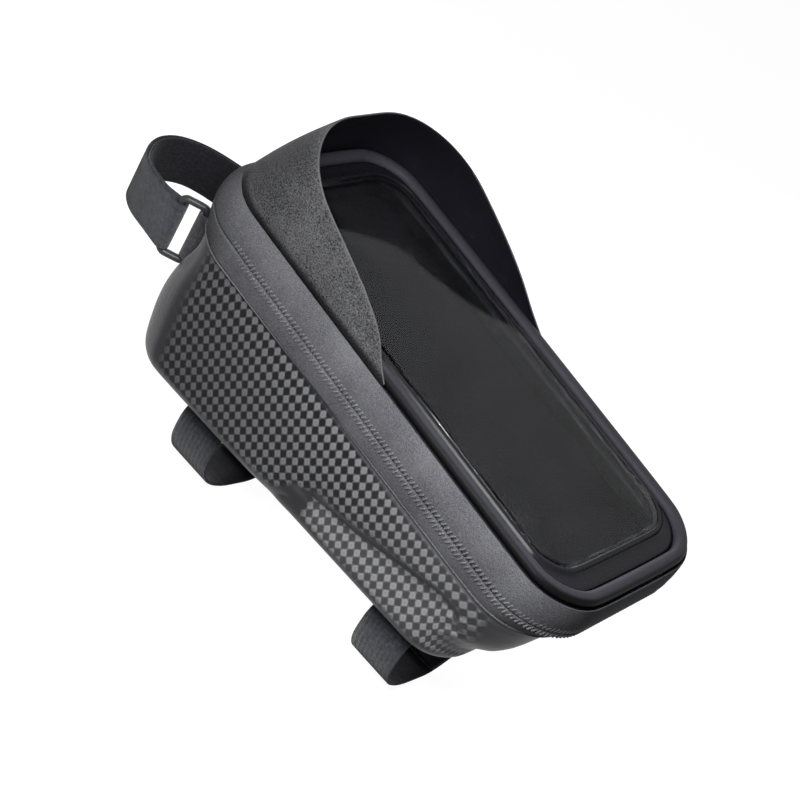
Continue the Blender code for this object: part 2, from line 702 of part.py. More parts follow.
def smooth_path(points, step_length=STRAP_STEP):
    """Even points on a smooth curve through the given ones."""
    read = []
    ends = [points[0]] + list(points) + [points[-1]]
    for a, b, c, d in zip(ends, ends[1:], ends[2:], ends[3:]):
        a, b, c, d = Vector(a), Vector(b), Vector(c), Vector(d)
        count = max(int(round((c - b).length / step_length)), 1)
        for step in range(count):
            t = step / count
            read.append(tuple(0.5 * (2 * b + (c - a) * t + (2 * a - 5 * b + 4 * c - d) * t**2
                                     + (3 * b - a - 3 * c + d) * t**3)))
    read.append(tuple(points[-1]))
    return read


def extrude_ribbon(name, path, thickness, levels, place, look=None):
    """A band of cloth: a flat path with thickness, carried across; place maps (a, b, c) to space."""
    outer, inner = ribbon_sides(path, thickness)
    bm = bmesh.new()
    sections = []
    for (x0, y0), (x1, y1) in zip(outer, inner):
        front = [place(x0, y0, level) for level in levels]
        back = [place(x1, y1, level) for level in reversed(levels)]
        sections.append(front + back)
    loft(bm, sections, start_cap=True, end_cap=True)
    return finish(name, bm, look, 50.0)


def strap_loop():
    """Spiral path of a bottom strap in the YZ plane; its free end overlaps outside on the right."""
    top = -(GAP + STRAP_THICKNESS / 2)
    side = STRAP_HALF_SPAN
    radius = STRAP_TOP_RADIUS
    shoulder = STRAP_DROP * STRAP_SHOULDER
    bowl = STRAP_DROP - STRAP_THICKNESS / 2 - shoulder

    def bowl_points(start, end, steps, out):
        turns = [math.radians(start + (end - start) * step / steps) for step in range(steps + 1)]
        return [((side + out) * math.cos(turn), -shoulder + (bowl + out) * math.sin(turn)) for turn in turns]

    path = bowl_points(LOOP_START, 0.0, 7, 0.0)
    path += [(side, -shoulder * 0.75)]
    for step in range(4):
        turn = math.radians(90.0 * step / 3)
        path.append((side - radius + radius * math.cos(turn), top - radius + radius * math.sin(turn)))
    left = [(-y, z) for y, z in path[8:]]
    path += list(reversed(left))
    path += bowl_points(-180.0, LOOP_TURN_OUT, 8, 0.0)
    lift = STRAP_THICKNESS + GAP
    path += bowl_points(LOOP_LIFTED, LOOP_END, 7, lift)
    return path


def make_bottom_straps():
    half = STRAP_WIDTH / 2
    drop = -(2 * GAP + STRAP_THICKNESS)
    for name, x in zip(("front", "rear"), STRAP_PLACES):
        extrude_ribbon("bottom_strap_" + name, strap_loop(), STRAP_THICKNESS, (x - half, x + half),
                       lambda y, z, across: Vector((across, y, z)), "webbing")
        inner = half + GAP
        outer = inner + ANCHOR_THICKNESS
        reach = outer + ANCHOR_FLANGE
        flange = -GAP - ANCHOR_THICKNESS
        section = [(-reach, -GAP), (-inner, -GAP), (-inner, drop), (inner, drop), (inner, -GAP), (reach, -GAP),
                   (reach, flange), (outer, flange), (outer, drop - ANCHOR_THICKNESS),
                   (-outer, drop - ANCHOR_THICKNESS), (-outer, flange), (-reach, flange)]
        bm = bmesh.new()
        ends = (-ANCHOR_LENGTH / 2, ANCHOR_LENGTH / 2)
        loft(bm, [[Vector((x + a, y, z)) for a, z in section] for y in ends], start_cap=True, end_cap=True)
        finish("strap_anchor_" + name, bm, "coated cloth")


@functools.cache
def front_profile(y):
    """Height and place of the shell's front face, ring by ring, at one distance across."""
    profile = []
    for ring in shell_rings(0.0, WALL_STEPS, RECESS_EDGE):
        for here, after in zip(ring, ring[1:] + ring[:1]):
            if here.x < SEAM[0] / 2 and here.y != after.y and (here.y - y) * (after.y - y) <= 0:
                point = here.lerp(after, (y - here.y) / (after.y - here.y))
                profile.append((point.z, point.x))
                break
    return profile


def shell_front(y, z):
    profile = front_profile(round(y, 5))
    for low, high in zip(profile, profile[1:]):
        if z <= high[0]:
            return mix(low, high, max((z - low[0]) / (high[0] - low[0]), 0.0))[1]
    return profile[-1][1]


def ring_bar(before):
    """Plan of a point on the ring's line, a distance before its rear bar."""
    rear = shell_front(RING_SIDE, RING_MIDDLE) - RING_STAND
    return rear - before * math.cos(RING_TURN), RING_SIDE - before * math.sin(RING_TURN)


def make_front_ring():
    """Upright ring with rounded bars, turned towards the bag's left side."""
    high = FRONT_STRAP_WIDTH / 2 + RING_ROOM + RING_BAR
    shape = (-RING_LENGTH + RING_BAR / 2, RING_BAR / 2, high, RING_CORNER)
    x, y = ring_bar(0.0)
    place = Matrix.Translation((x, y, RING_MIDDLE)) @ Matrix.Rotation(RING_TURN, 4, "Z")
    bm = bmesh.new()
    rings = []
    for step in range(BAR_STEPS):
        turn = 2.0 * math.pi * (step + 0.5) / BAR_STEPS
        inset = RING_BAR / 2 * (1.0 - math.cos(turn))
        rings.append([place @ Vector((along, RING_BAR / 2 * math.sin(turn), up))
                      for along, up in outline(shape, inset, 2, RING_CORNER - RING_BAR)])
    loft(bm, rings, joined=True)
    finish("front_ring", bm, "ring plastic", sharp_angle=50.0)


def round_bar(centre, radius, before, after, steps):
    """Clockwise arc that a line from one point enters and a line to another point leaves."""
    turns = []
    for point, side in ((before, -1.0), (after, 1.0)):
        along = Vector(point) - Vector(centre)
        turns.append(math.atan2(along.y, along.x) + side * math.acos(radius / along.length))
    start, end = turns
    end -= 2.0 * math.pi * math.ceil((end - start) / (2.0 * math.pi))
    turns = [start + (end - start) * step / steps for step in range(steps + 1)]
    return [(centre[0] + radius * math.cos(turn), centre[1] + radius * math.sin(turn)) for turn in turns]


def make_front_tab():
    """Webbing sewn flat to the shell's front; it goes out round the ring's rear bar and back on itself."""
    bar = ring_bar(0.0)
    wrap = RING_BAR / 2 + GAP + TAB_THICKNESS / 2
    reach = [TAB_TAIL_END - TAB_TAIL * share for share in (0.0, 0.5, 1.0)]
    sections = []
    for step in range(STRAP_ROWS):
        z = RING_MIDDLE + TAB_WIDTH * (step / (STRAP_ROWS - 1) - 0.5)
        under = GAP + TAB_THICKNESS / 2
        over = under + GAP + TAB_THICKNESS
        first = [(shell_front(y, z) - under, y) for y in reach + [reach[-1] - TAB_BEND]]
        second = [(shell_front(y, z) - over, y) for y in reversed(reach)]
        sides = ribbon_sides(first + round_bar(bar, wrap, first[-1], second[0], 9) + second, TAB_THICKNESS)
        sections.append([Vector((x, y, z)) for x, y in sides[0] + sides[1][::-1]])
    bm = bmesh.new()
    loft(bm, sections, start_cap=True, end_cap=True)
    finish("front_tab", bm, "webbing", sharp_angle=50.0)


def front_strap_path():
    """From the sewn end on the right, round the loop, through the ring and back outside itself."""
    seat = shell_front(STRAP_SEAT, RING_MIDDLE) - FRONT_STRAP_THICKNESS / 2 - 2 * GAP
    bar = ring_bar(RING_LENGTH - RING_BAR)
    wrap = RING_BAR / 2 + GAP + FRONT_STRAP_THICKNESS / 2
    sewn = [(seat, STRAP_SEAT + STRAP_SEWN), (seat, STRAP_SEAT + STRAP_BEND),
            (seat - FRONT_STRAP_THICKNESS, STRAP_SEAT)]
    loop = [(seat - STRAP_LOOP_DEPTH * depth, bar[1] + (STRAP_SEAT - bar[1]) * across)
            for depth, across in STRAP_CURVE]
    inner = smooth_path(sewn + loop)
    lift = FRONT_STRAP_THICKNESS + GAP
    outer = ribbon_sides(inner, 2 * lift)[1]
    kept = [point for point in outer if point[0] < seat - STRAP_FREE_END]
    return inner + round_bar(bar, wrap, inner[-1], outer[-1], 8) + kept[::-1]


def make_front_strap():
    """The strap leans with the shell's front where it is sewn on."""
    levels = [RING_MIDDLE + FRONT_STRAP_WIDTH * (step / (STRAP_ROWS - 1) - 0.5) for step in range(STRAP_ROWS)]
    middle = shell_front(STRAP_SEAT, RING_MIDDLE)

    def place(x, y, level):
        lean = shell_front(max(y, STRAP_SEAT), level) - middle
        return Vector((x + lean * ease(y / (STRAP_SEAT - STRAP_BEND)), y, level))

    extrude_ribbon("front_strap", front_strap_path(), FRONT_STRAP_THICKNESS, levels, place, "webbing")


def clear_scene():
    for old in list(bpy.data.objects):
        bpy.data.objects.remove(old, do_unlink=True)


def main():
    clear_scene()
    make_shell()
    make_bands()
    make_roll()
    hung_from = make_stiffener()
    make_window()
    make_visor()
    make_tray(hung_from)
    make_coils()
    make_hinge_cloth()
    make_pull(make_slider())
    make_bottom_straps()
    make_front_ring()
    make_front_tab()
    make_front_strap()
    hang([bpy.data.objects[name] for name in LID], "lid_hinge", DECK @ Vector((BAND[0], 0.0, ZIP_LEVEL)))


main()
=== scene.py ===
import math

import bmesh
import bpy
from mathutils import Matrix, Vector


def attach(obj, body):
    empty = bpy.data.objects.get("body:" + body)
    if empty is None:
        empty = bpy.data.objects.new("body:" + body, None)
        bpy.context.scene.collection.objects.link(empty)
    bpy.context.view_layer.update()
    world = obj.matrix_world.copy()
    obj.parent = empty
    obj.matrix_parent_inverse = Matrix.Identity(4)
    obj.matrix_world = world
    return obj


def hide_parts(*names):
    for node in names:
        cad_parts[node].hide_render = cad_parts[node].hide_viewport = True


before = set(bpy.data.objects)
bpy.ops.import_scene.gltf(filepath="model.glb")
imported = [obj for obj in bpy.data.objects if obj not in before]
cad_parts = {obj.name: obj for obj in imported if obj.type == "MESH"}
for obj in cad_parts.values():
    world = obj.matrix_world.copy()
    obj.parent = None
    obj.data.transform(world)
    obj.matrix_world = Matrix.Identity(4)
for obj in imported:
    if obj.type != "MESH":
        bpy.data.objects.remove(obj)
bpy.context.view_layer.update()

# The lid's plane, the deck: u runs to the rider, v to the right, w out of the lid.
DECK = Matrix.Translation((0.012, 0.0, 0.078)) @ Matrix.Rotation(math.radians(8.5), 4, "Y")
TO_DECK = DECK.inverted()

# Outlines on the deck: front end, rear end, half width, corner radius.
GROOVE = (-0.0970, 0.0984, 0.0465, 0.0235)
BAND = (-0.1015, 0.0997, 0.0505, 0.0270)
SEAM = (-0.0970, 0.0952, 0.0496, 0.0250)
ZIP_LEVEL = -0.0134
ZIP_SLIT = 0.0013
SLIT_SEEN = 0.00008
SEAM_FRONT_LEVEL, SEAM_SLOPE = -0.0240, 0.0182

# Line of the crease on the shell's sides: place along the bag, height; and how far it is drawn down here.
CREASE = ((-0.016, 0.000), (-0.006, 0.009), (0.001, 0.019), (0.009, 0.0245), (0.030, 0.0275),
          (0.050, 0.0315), (0.068, 0.0360), (0.077, 0.0345), (0.086, 0.0200), (0.093, 0.000))
CREASE_DROP = ((-0.016, 0.0), (0.001, 0.0022), (0.012, 0.0027), (0.034, 0.0025), (0.052, 0.0016), (0.072, 0.0))
CREASE_REACH = 0.014
CREASE_END = 0.084
SIDE_WALL = 0.030
FOOT = (-0.0930, 0.0905, 0.0460, 0.0210)

# Camera: its axes and place on the deck, found from the photograph.
CAMERA_PLACE = (0.1689, -0.5090, 0.3504)
CAMERA_RIGHT = (0.58122512, 0.60959932, 0.53904176)
CAMERA_DOWN = (0.76831138, -0.19286278, -0.61032907)
CAMERA_AHEAD = (-0.26809509, 0.76889051, -0.58045879)
CAMERA_LENS = 83.5
CAMERA_SENSOR = 36.0

FLOOR_LEVEL = -0.0375
FLOOR_SIZE = 6.0
FLOOR_GREY = (0.20, 0.20, 0.20)
FLOOR_GLOW = 0.955
AMBIENT = 0.06

# Smoothing: rounds of subdivision, and the angle in degrees up to which a bevelled piece is shaded smooth.
SUBDIVISIONS = 2
SHADED_SMOOTH = 30.0

# Lamps: place, what they are aimed at, power in watts, size.
LAMPS = {
    "key": ((0.055, -0.205, 0.240), (0.045, -0.045, 0.040), 1.9, 0.14),
    "top": ((-0.100, 0.350, 0.900), (0.000, 0.000, 0.060), 0.8, 0.60),
    "back": ((-0.300, 0.420, 0.140), (-0.010, 0.030, 0.040), 1.6, 0.30),
    "front": ((-0.500, -0.400, 0.300), (-0.100, -0.030, 0.040), 0.25, 0.30),
}

bpy.ops.object.select_all(action="DESELECT")


def ease(value):
    """Smooth step from 0 to 1."""
    share = min(max(value, 0.0), 1.0)
    return share * share * (3.0 - 2.0 * share)


def ramp(value, start, width):
    """Smooth step that begins at a start and takes a width."""
    return ease((value - start) / width)


def only(piece):
    """Select this piece and nothing else."""
    bpy.ops.object.select_all(action="DESELECT")
    piece.select_set(True)
    bpy.context.view_layer.objects.active = piece


def apply_modifiers(piece):
    only(piece)
    for modifier in list(piece.modifiers):
        bpy.ops.object.modifier_apply(modifier=modifier.name)


def cage(node, name):
    """A clean copy of a CAD node's mesh: merged, in quads where it was a grid."""
    piece = bpy.data.objects.new(name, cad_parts[node].data.copy())
    bpy.context.scene.collection.objects.link(piece)
    piece.data.materials.clear()
    only(piece)
    bpy.ops.mesh.customdata_custom_splitnormals_clear()
    bpy.ops.object.mode_set(mode="EDIT")
    bpy.ops.mesh.select_all(action="SELECT")
    bpy.ops.mesh.remove_doubles(threshold=1e-6)
    bpy.ops.mesh.tris_convert_to_quads(face_threshold=math.radians(50), shape_threshold=math.radians(60))
    bpy.ops.object.mode_set(mode="OBJECT")
    return piece


def subdivide(piece, crease_angle=None, crease=0.7):
    """Smooth a cage, with the edges sharper than an angle held tight."""
    only(piece)
    if crease_angle is not None:
        bpy.ops.object.mode_set(mode="EDIT")
        bpy.ops.mesh.select_mode(type="EDGE")
        bpy.ops.mesh.select_all(action="DESELECT")
        bpy.ops.mesh.edges_select_sharp(sharpness=math.radians(crease_angle))
        bpy.ops.transform.edge_crease(value=crease)
        bpy.ops.object.mode_set(mode="OBJECT")
    surface = piece.modifiers.new("smooth", "SUBSURF")
    surface.levels = surface.render_levels = SUBDIVISIONS
    apply_modifiers(piece)
    bpy.ops.object.shade_smooth()


def dress(piece, made_of, body, slot, *nodes):
    """Give a finished piece its material, if one is given, and its body, and hide the CAD nodes that it stands for."""
    if made_of:
        piece.data.materials.append(made_of)
    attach(piece, body)
    if nodes:
        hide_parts(*nodes)


def round_edges(piece, width):
    """Bevel a cage's sharp edges and shade it smooth between them."""
    edge = piece.modifiers.new("edge", "BEVEL")
    edge.width, edge.segments = width, 2
    edge.limit_method, edge.angle_limit = "ANGLE", math.radians(40)
    apply_modifiers(piece)
    bpy.ops.object.shade_smooth_by_angle(angle=math.radians(SHADED_SMOOTH))


def outline_walk(shape, inset, distance):
    """Point and outward direction on a rounded rectangle, a distance along from the middle of its front end."""
    front, rear, half, radius = shape
    front, rear, half, radius = front + inset, rear - inset, half - inset, radius - inset
    quarter = radius * math.pi / 2
    end, side = half - radius, (rear - front) - 2 * radius
    total = 2 * (2 * end + side + 2 * quarter)
    left = distance % total
    mirror = 1.0
    if left > total / 2:
        left, mirror = total - left, -1.0
    if left < end:
        return (front, -mirror * left), (-1.0, 0.0), total
    left -= end
    if left < quarter:
        turn = left / radius
        out = (-math.cos(turn), -mirror * math.sin(turn))
        return (front + radius + radius * out[0], -mirror * end + radius * out[1]), out, total
    left -= quarter
    if left < side:
        return (front + radius + left, -mirror * half), (0.0, -mirror), total
    left -= side
    if left < quarter:
        turn = left / radius
        out = (math.sin(turn), -mirror * math.cos(turn))
        return (rear - radius + radius * out[0], -mirror * end + radius * out[1]), out, total
    left -= quarter
    return (rear, -mirror * (end - left)), (1.0, 0.0), total


def outline_distance(shape, u, v):
    """How far along a rounded rectangle the nearest point lies, the same on the left and on the right."""
    front, rear, half, radius = shape
    quarter = radius * math.pi / 2
    end, side = half - radius, (rear - front) - 2 * radius
    v = abs(v)
    if u < front + radius and v <= end:
        return v
    if u < front + radius:
        return end + radius * math.atan2(v - end, front + radius - u)
    if u <= rear - radius:
        return end + quarter + u - front - radius
    if v > end:
        return end + quarter + side + radius * math.atan2(u - rear + radius, v - end)
    return end + 2 * quarter + side + end - v


def many(name, model, places):
    """One mesh that holds a copy of a small model at each place; the model is used up."""
    bm = bmesh.new()
    for place in places:
        copy = model.data.copy()
        copy.transform(place)
        bm.from_mesh(copy)
        bpy.data.meshes.remove(copy)
    mesh = bpy.data.meshes.new(name)
    bm.to_mesh(mesh)
    bm.free()
    bpy.data.objects.remove(model)
    piece = bpy.data.objects.new(name, mesh)
    bpy.context.scene.collection.objects.link(piece)
    return piece


def block(name, size, bevel, segments=1):
    """A small rounded block round the origin."""
    bpy.ops.object.select_all(action="DESELECT")
    bpy.ops.mesh.primitive_cube_add(size=1.0)
    piece = bpy.context.active_object
    piece.name = name
    piece.scale = size
    bpy.ops.object.transform_apply(location=False, rotation=False, scale=True)
    bpy.ops.object.mode_set(mode="EDIT")
    bpy.ops.mesh.select_all(action="SELECT")
    bpy.ops.mesh.bevel(offset=bevel, segments=segments, affect="EDGES")
    bpy.ops.object.mode_set(mode="OBJECT")
    bpy.ops.object.shade_smooth()
    return piece


# Materials. SHINE is how much the dark stuffs mirror.

SHINE = 0.08


class Graph:
    """A node tree with short calls for adding and joining nodes."""

    def __init__(self, tree):
        self.tree = tree

    def add(self, kind, inputs=(), **settings):
        node = self.tree.nodes.new(kind)
        for name, value in settings.items():
            setattr(node, name, value)
        for name, value in dict(inputs).items():
            self.feed(node.inputs[name], value)
        return node

    def feed(self, socket, value):
        if isinstance(value, bpy.types.NodeSocket):
            self.tree.links.new(value, socket)
        else:
            socket.default_value = value

    def math(self, operation, first, second=0.0, third=0.0):
        return self.add("ShaderNodeMath", {0: first, 1: second, 2: third}, operation=operation).outputs[0]

    def range(self, value, low, high, to_low=0.0, to_high=1.0, smooth=False):
        kind = "SMOOTHSTEP" if smooth else "LINEAR"
        inputs = {"Value": value, "From Min": low, "From Max": high, "To Min": to_low, "To Max": to_high}
        return self.add("ShaderNodeMapRange", inputs, interpolation_type=kind).outputs["Result"]

    def blend(self, share, first, second):
        node = self.add("ShaderNodeMix", data_type="RGBA")
        self.feed(node.inputs[0], share)
        self.feed(node.inputs[6], first)
        self.feed(node.inputs[7], second)
        return node.outputs[2]

    def noise(self, vector, scale, detail=2.0, roughness=0.5):
        inputs = {"Vector": vector, "Scale": scale, "Detail": detail, "Roughness": roughness}
        return self.add("ShaderNodeTexNoise", inputs).outputs["Fac"]

    def scaled(self, vector, factor):
        return self.add("ShaderNodeVectorMath", {0: vector, "Scale": factor}, operation="SCALE").outputs[0]


def rgba(value):
    return (*value, 1.0)


def new_group(name, inputs, outputs):
    """An empty node group; inputs are name and default, outputs are names of values."""
    group = bpy.data.node_groups.new(name, "ShaderNodeTree")
    for label, default in inputs.items():
        kind = "NodeSocketVector" if default is None else "NodeSocketFloat"
        socket = group.interface.new_socket(name=label, in_out="INPUT", socket_type=kind)
        if default is not None:
            socket.default_value = default
    for label in outputs:
        group.interface.new_socket(name=label, in_out="OUTPUT", socket_type="NodeSocketFloat")
    graph = Graph(group)
    start = graph.add("NodeGroupInput")
    finish = graph.add("NodeGroupOutput")
    return group, graph, start, finish


def grain_group():
    """Pebbled grain with fine speckle on it, as on coated cloth and grained sheet."""
    group, graph, start, finish = new_group(
        "pebble_grain", {"Vector": None, "Pebble": 900.0, "Speckle": 3000.0}, ("Height", "Tone"))
    inputs = {"Vector": start.outputs["Vector"], "Scale": start.outputs["Pebble"]}
    cells = graph.add("ShaderNodeTexVoronoi", inputs, feature="SMOOTH_F1").outputs["Distance"]
    fine = graph.noise(start.outputs["Vector"], start.outputs["Speckle"], 3.0, 0.6)
    broad = graph.noise(start.outputs["Vector"], 60.0, 2.0)
    height = graph.math("ADD", graph.math("MULTIPLY", cells, -0.6), graph.math("MULTIPLY", fine, 0.6))
    tone = graph.math("ADD", graph.math("MULTIPLY", fine, 0.8), graph.math("MULTIPLY", broad, 0.2))
    graph.feed(finish.inputs["Height"], height)
    graph.feed(finish.inputs["Tone"], graph.range(tone, 0.36, 0.64))
    return group


def pile_group():
    """Brushed loop pile with faint ribs across one direction, as on hook-and-loop strap."""
    group, graph, start, finish = new_group(
        "loop_pile", {"Vector": None, "Across": 0.0, "Ribs": 900.0}, ("Height", "Tone"))
    coarse = graph.noise(start.outputs["Vector"], 700.0, 4.0, 0.65)
    fine = graph.noise(start.outputs["Vector"], 2600.0, 2.0, 0.6)
    phase = graph.math("MULTIPLY", start.outputs["Across"], start.outputs["Ribs"])
    waver = graph.math("MULTIPLY", graph.noise(start.outputs["Vector"], 300.0), 2.5)
    rib = graph.math("SINE", graph.math("ADD", graph.math("MULTIPLY", phase, 2 * math.pi), waver))
    height = graph.math("ADD", graph.math("MULTIPLY", fine, 0.6), graph.math("MULTIPLY", rib, 0.16))
    tone = graph.math("ADD", graph.math("MULTIPLY", coarse, 0.7), graph.math("MULTIPLY", fine, 0.3))
    graph.feed(finish.inputs["Height"], height)
    graph.feed(finish.inputs["Tone"], graph.range(tone, 0.38, 0.62))
    return group


GRAIN = grain_group()
PILE = pile_group()


def new_material(name, **values):
    """A material with one Principled shader; constant values go on its own sockets."""
    made = bpy.data.materials.new(name)
    made.use_nodes = True
    graph = Graph(made.node_tree)
    shader = made.node_tree.nodes["Principled BSDF"]
    for label, value in values.items():
        socket = shader.inputs[label.replace("_", " ")]
        socket.default_value = rgba(value) if isinstance(value, tuple) else value
    place = graph.add("ShaderNodeTexCoord").outputs["Object"]
    return made, graph, shader, place


def bump(graph, shader, height, distance, strength=1.0):
    node = graph.add("ShaderNodeBump", {"Height": height, "Distance": distance, "Strength": strength})
    graph.feed(shader.inputs["Normal"], node.outputs["Normal"])


def attribute(graph, name):
    return graph.add("ShaderNodeAttribute", attribute_name=name).outputs["Fac"]


def grained(name, dark, light, roughness, pebble, speckle, depth, shine=0.02, tone=None):
    """Coated cloth or grained sheet; tone names an attribute that scales its colour with painted light and shade, such
    as painted shade in the grooves.
    """
    made, graph, shader, place = new_material(name, Roughness=roughness, Specular_IOR_Level=shine)
    grain = graph.add("ShaderNodeGroup", node_tree=GRAIN)
    graph.feed(grain.inputs["Vector"], place)
    grain.inputs["Pebble"].default_value = pebble
    grain.inputs["Speckle"].default_value = speckle
    skin = graph.blend(grain.outputs["Tone"], rgba(dark), rgba(light))
    # The attribute scales the colour with painted light and shade.
    if tone:
        skin = graph.scaled(skin, attribute(graph, tone))
    graph.feed(shader.inputs["Base Color"], skin)
    bump(graph, shader, grain.outputs["Height"], depth)
    return made


def piled(name, dark, light, axis, ribs, depth=0.00025, sheen=0.25):
    """Hook-and-loop strap whose ribs run along the strap; axis is the direction across it."""
    made, graph, shader, place = new_material(name, Roughness=0.88, Sheen_Weight=sheen, Sheen_Roughness=0.5,
                                              Specular_IOR_Level=0.15)
    across = graph.add("ShaderNodeSeparateXYZ", {"Vector": place}).outputs[axis]
    pile = graph.add("ShaderNodeGroup", node_tree=PILE)
    graph.feed(pile.inputs["Vector"], place)
    graph.feed(pile.inputs["Across"], across)
    pile.inputs["Ribs"].default_value = ribs
    graph.feed(shader.inputs["Base Color"], graph.blend(pile.outputs["Tone"], rgba(dark), rgba(light)))
    bump(graph, shader, pile.outputs["Height"], depth)
    return made


# The squares: turns of their two slanted rows per metre along and up the wall, how far their corners melt together,
# how far their edges waver, the range over which an edge changes tone, and the depth of the emboss.
LATTICE = ((318.9, 136.7), (254.8, -254.8))
CORNER_MELT = 0.40
EDGE_WAVER = 0.24
EDGE_RANGE = (-0.10, 0.18)
EMBOSS_DEPTH = 0.00016
BRUSHED_SHINE = 0.40
STREAKS = (2400.0, 2400.0, 160.0)
SQUARE_LIGHT = (0.150, 0.150, 0.157)
SQUARE_DARK = (0.006, 0.006, 0.008)
# Colour of the dark squares where painted light lifts them, under the crease and towards the rear.
SQUARE_DARK_PAINTED_LIT = (0.046, 0.046, 0.049)
# Colour of the painted shade along the crease.
CREASE_SHADE_COLOUR = (0.006, 0.006, 0.007)
SHELL_DARK = (0.014, 0.014, 0.017)
SHELL_LIGHT = (0.024, 0.024, 0.028)
SHELL_PALE = (0.080, 0.080, 0.087)


def shell_material():
    """Moulded skin with embossed squares on a slanted lattice, which fade out where the mould is smooth; attributes
    paint light and shade on it.
    """
    made, graph, shader, place = new_material("moulded_shell_skin", Specular_IOR_Level=SHINE)
    along, rise = attribute(graph, "along"), attribute(graph, "rise")
    cells, edges = [], []
    for run, climb in LATTICE:
        axis = graph.math("MULTIPLY_ADD", along, run, graph.math("MULTIPLY", rise, climb))
        inside = graph.math("FRACT", axis)
        edges.append(graph.math("MINIMUM", inside, graph.math("SUBTRACT", 1.0, inside)))
        cells.append(graph.math("FLOOR", axis))
    checker = graph.math("PINGPONG", graph.math("ADD", cells[0], cells[1]), 1.0)
    edge = graph.math("SMOOTH_MIN", edges[0], edges[1], CORNER_MELT)
    signed = graph.math("MULTIPLY", edge, graph.range(checker, 0.0, 1.0, -1.0, 1.0))
    waver = graph.math("MULTIPLY_ADD", graph.noise(place, 1500.0, 2.0, 0.7), EDGE_WAVER, -EDGE_WAVER / 2)
    light = graph.range(graph.math("ADD", signed, waver), *EDGE_RANGE, smooth=True)
    # The light squares sink towards their middles in the bump, and their colour darkens there by a fifth as painted
    # shade.
    dish_and_shade = graph.range(edge, 0.10, 0.42, 1.0, 0.80, smooth=True)
    shown = attribute(graph, "pattern")
    grit = graph.noise(place, 2600.0, 2.0, 0.6)
    drawn = graph.add("ShaderNodeVectorMath", {0: place, 1: STREAKS}, operation="MULTIPLY").outputs[0]
    streak = graph.noise(drawn, 1.0, 2.0, 0.6)
    # Painted light and shade on the light squares: darker at the front, lighter towards the rear and on the panel
    # under the crease.
    shade = graph.math("MULTIPLY", dish_and_shade, attribute(graph, "tone"))
    light_squares = graph.scaled(SQUARE_LIGHT, shade)
    # The dark squares, lighter where the lift attribute paints light on them.
    dark_squares = graph.blend(attribute(graph, "lift"), rgba(SQUARE_DARK), rgba(SQUARE_DARK_PAINTED_LIT))
    patterned = graph.blend(light, dark_squares, light_squares)
    plain = graph.blend(graph.range(grit, 0.3, 0.7), rgba(SHELL_DARK), rgba(SHELL_LIGHT))
    plain = graph.blend(attribute(graph, "pale"), plain, rgba(SHELL_PALE))
    skin = graph.blend(shown, plain, patterned)
    # Painted shade: a dark line along the crease, under its step.
    crease_shade_share = graph.math("MULTIPLY", attribute(graph, "painted_crease_shade"), 0.75)
    graph.feed(shader.inputs["Base Color"], graph.blend(crease_shade_share, skin, rgba(CREASE_SHADE_COLOUR)))
    rough = graph.math("MULTIPLY_ADD", grit, 0.08, graph.range(shown, 0.0, 1.0, 0.36, 0.50))
    graph.feed(shader.inputs["Roughness"], rough)
    raised = graph.math("MULTIPLY", graph.math("MULTIPLY", light, dish_and_shade), shown)
    height = graph.math("MULTIPLY_ADD", grit, 0.06, raised)
    sheen = attribute(graph, "brushed")
    graph.feed(shader.inputs["Specular IOR Level"], graph.range(sheen, 0.0, 1.0, SHINE, BRUSHED_SHINE))
    brushed = graph.math("MULTIPLY", graph.math("MULTIPLY", streak, sheen), 2.2)
    bump(graph, shader, graph.math("ADD", height, brushed), EMBOSS_DEPTH)
    return made


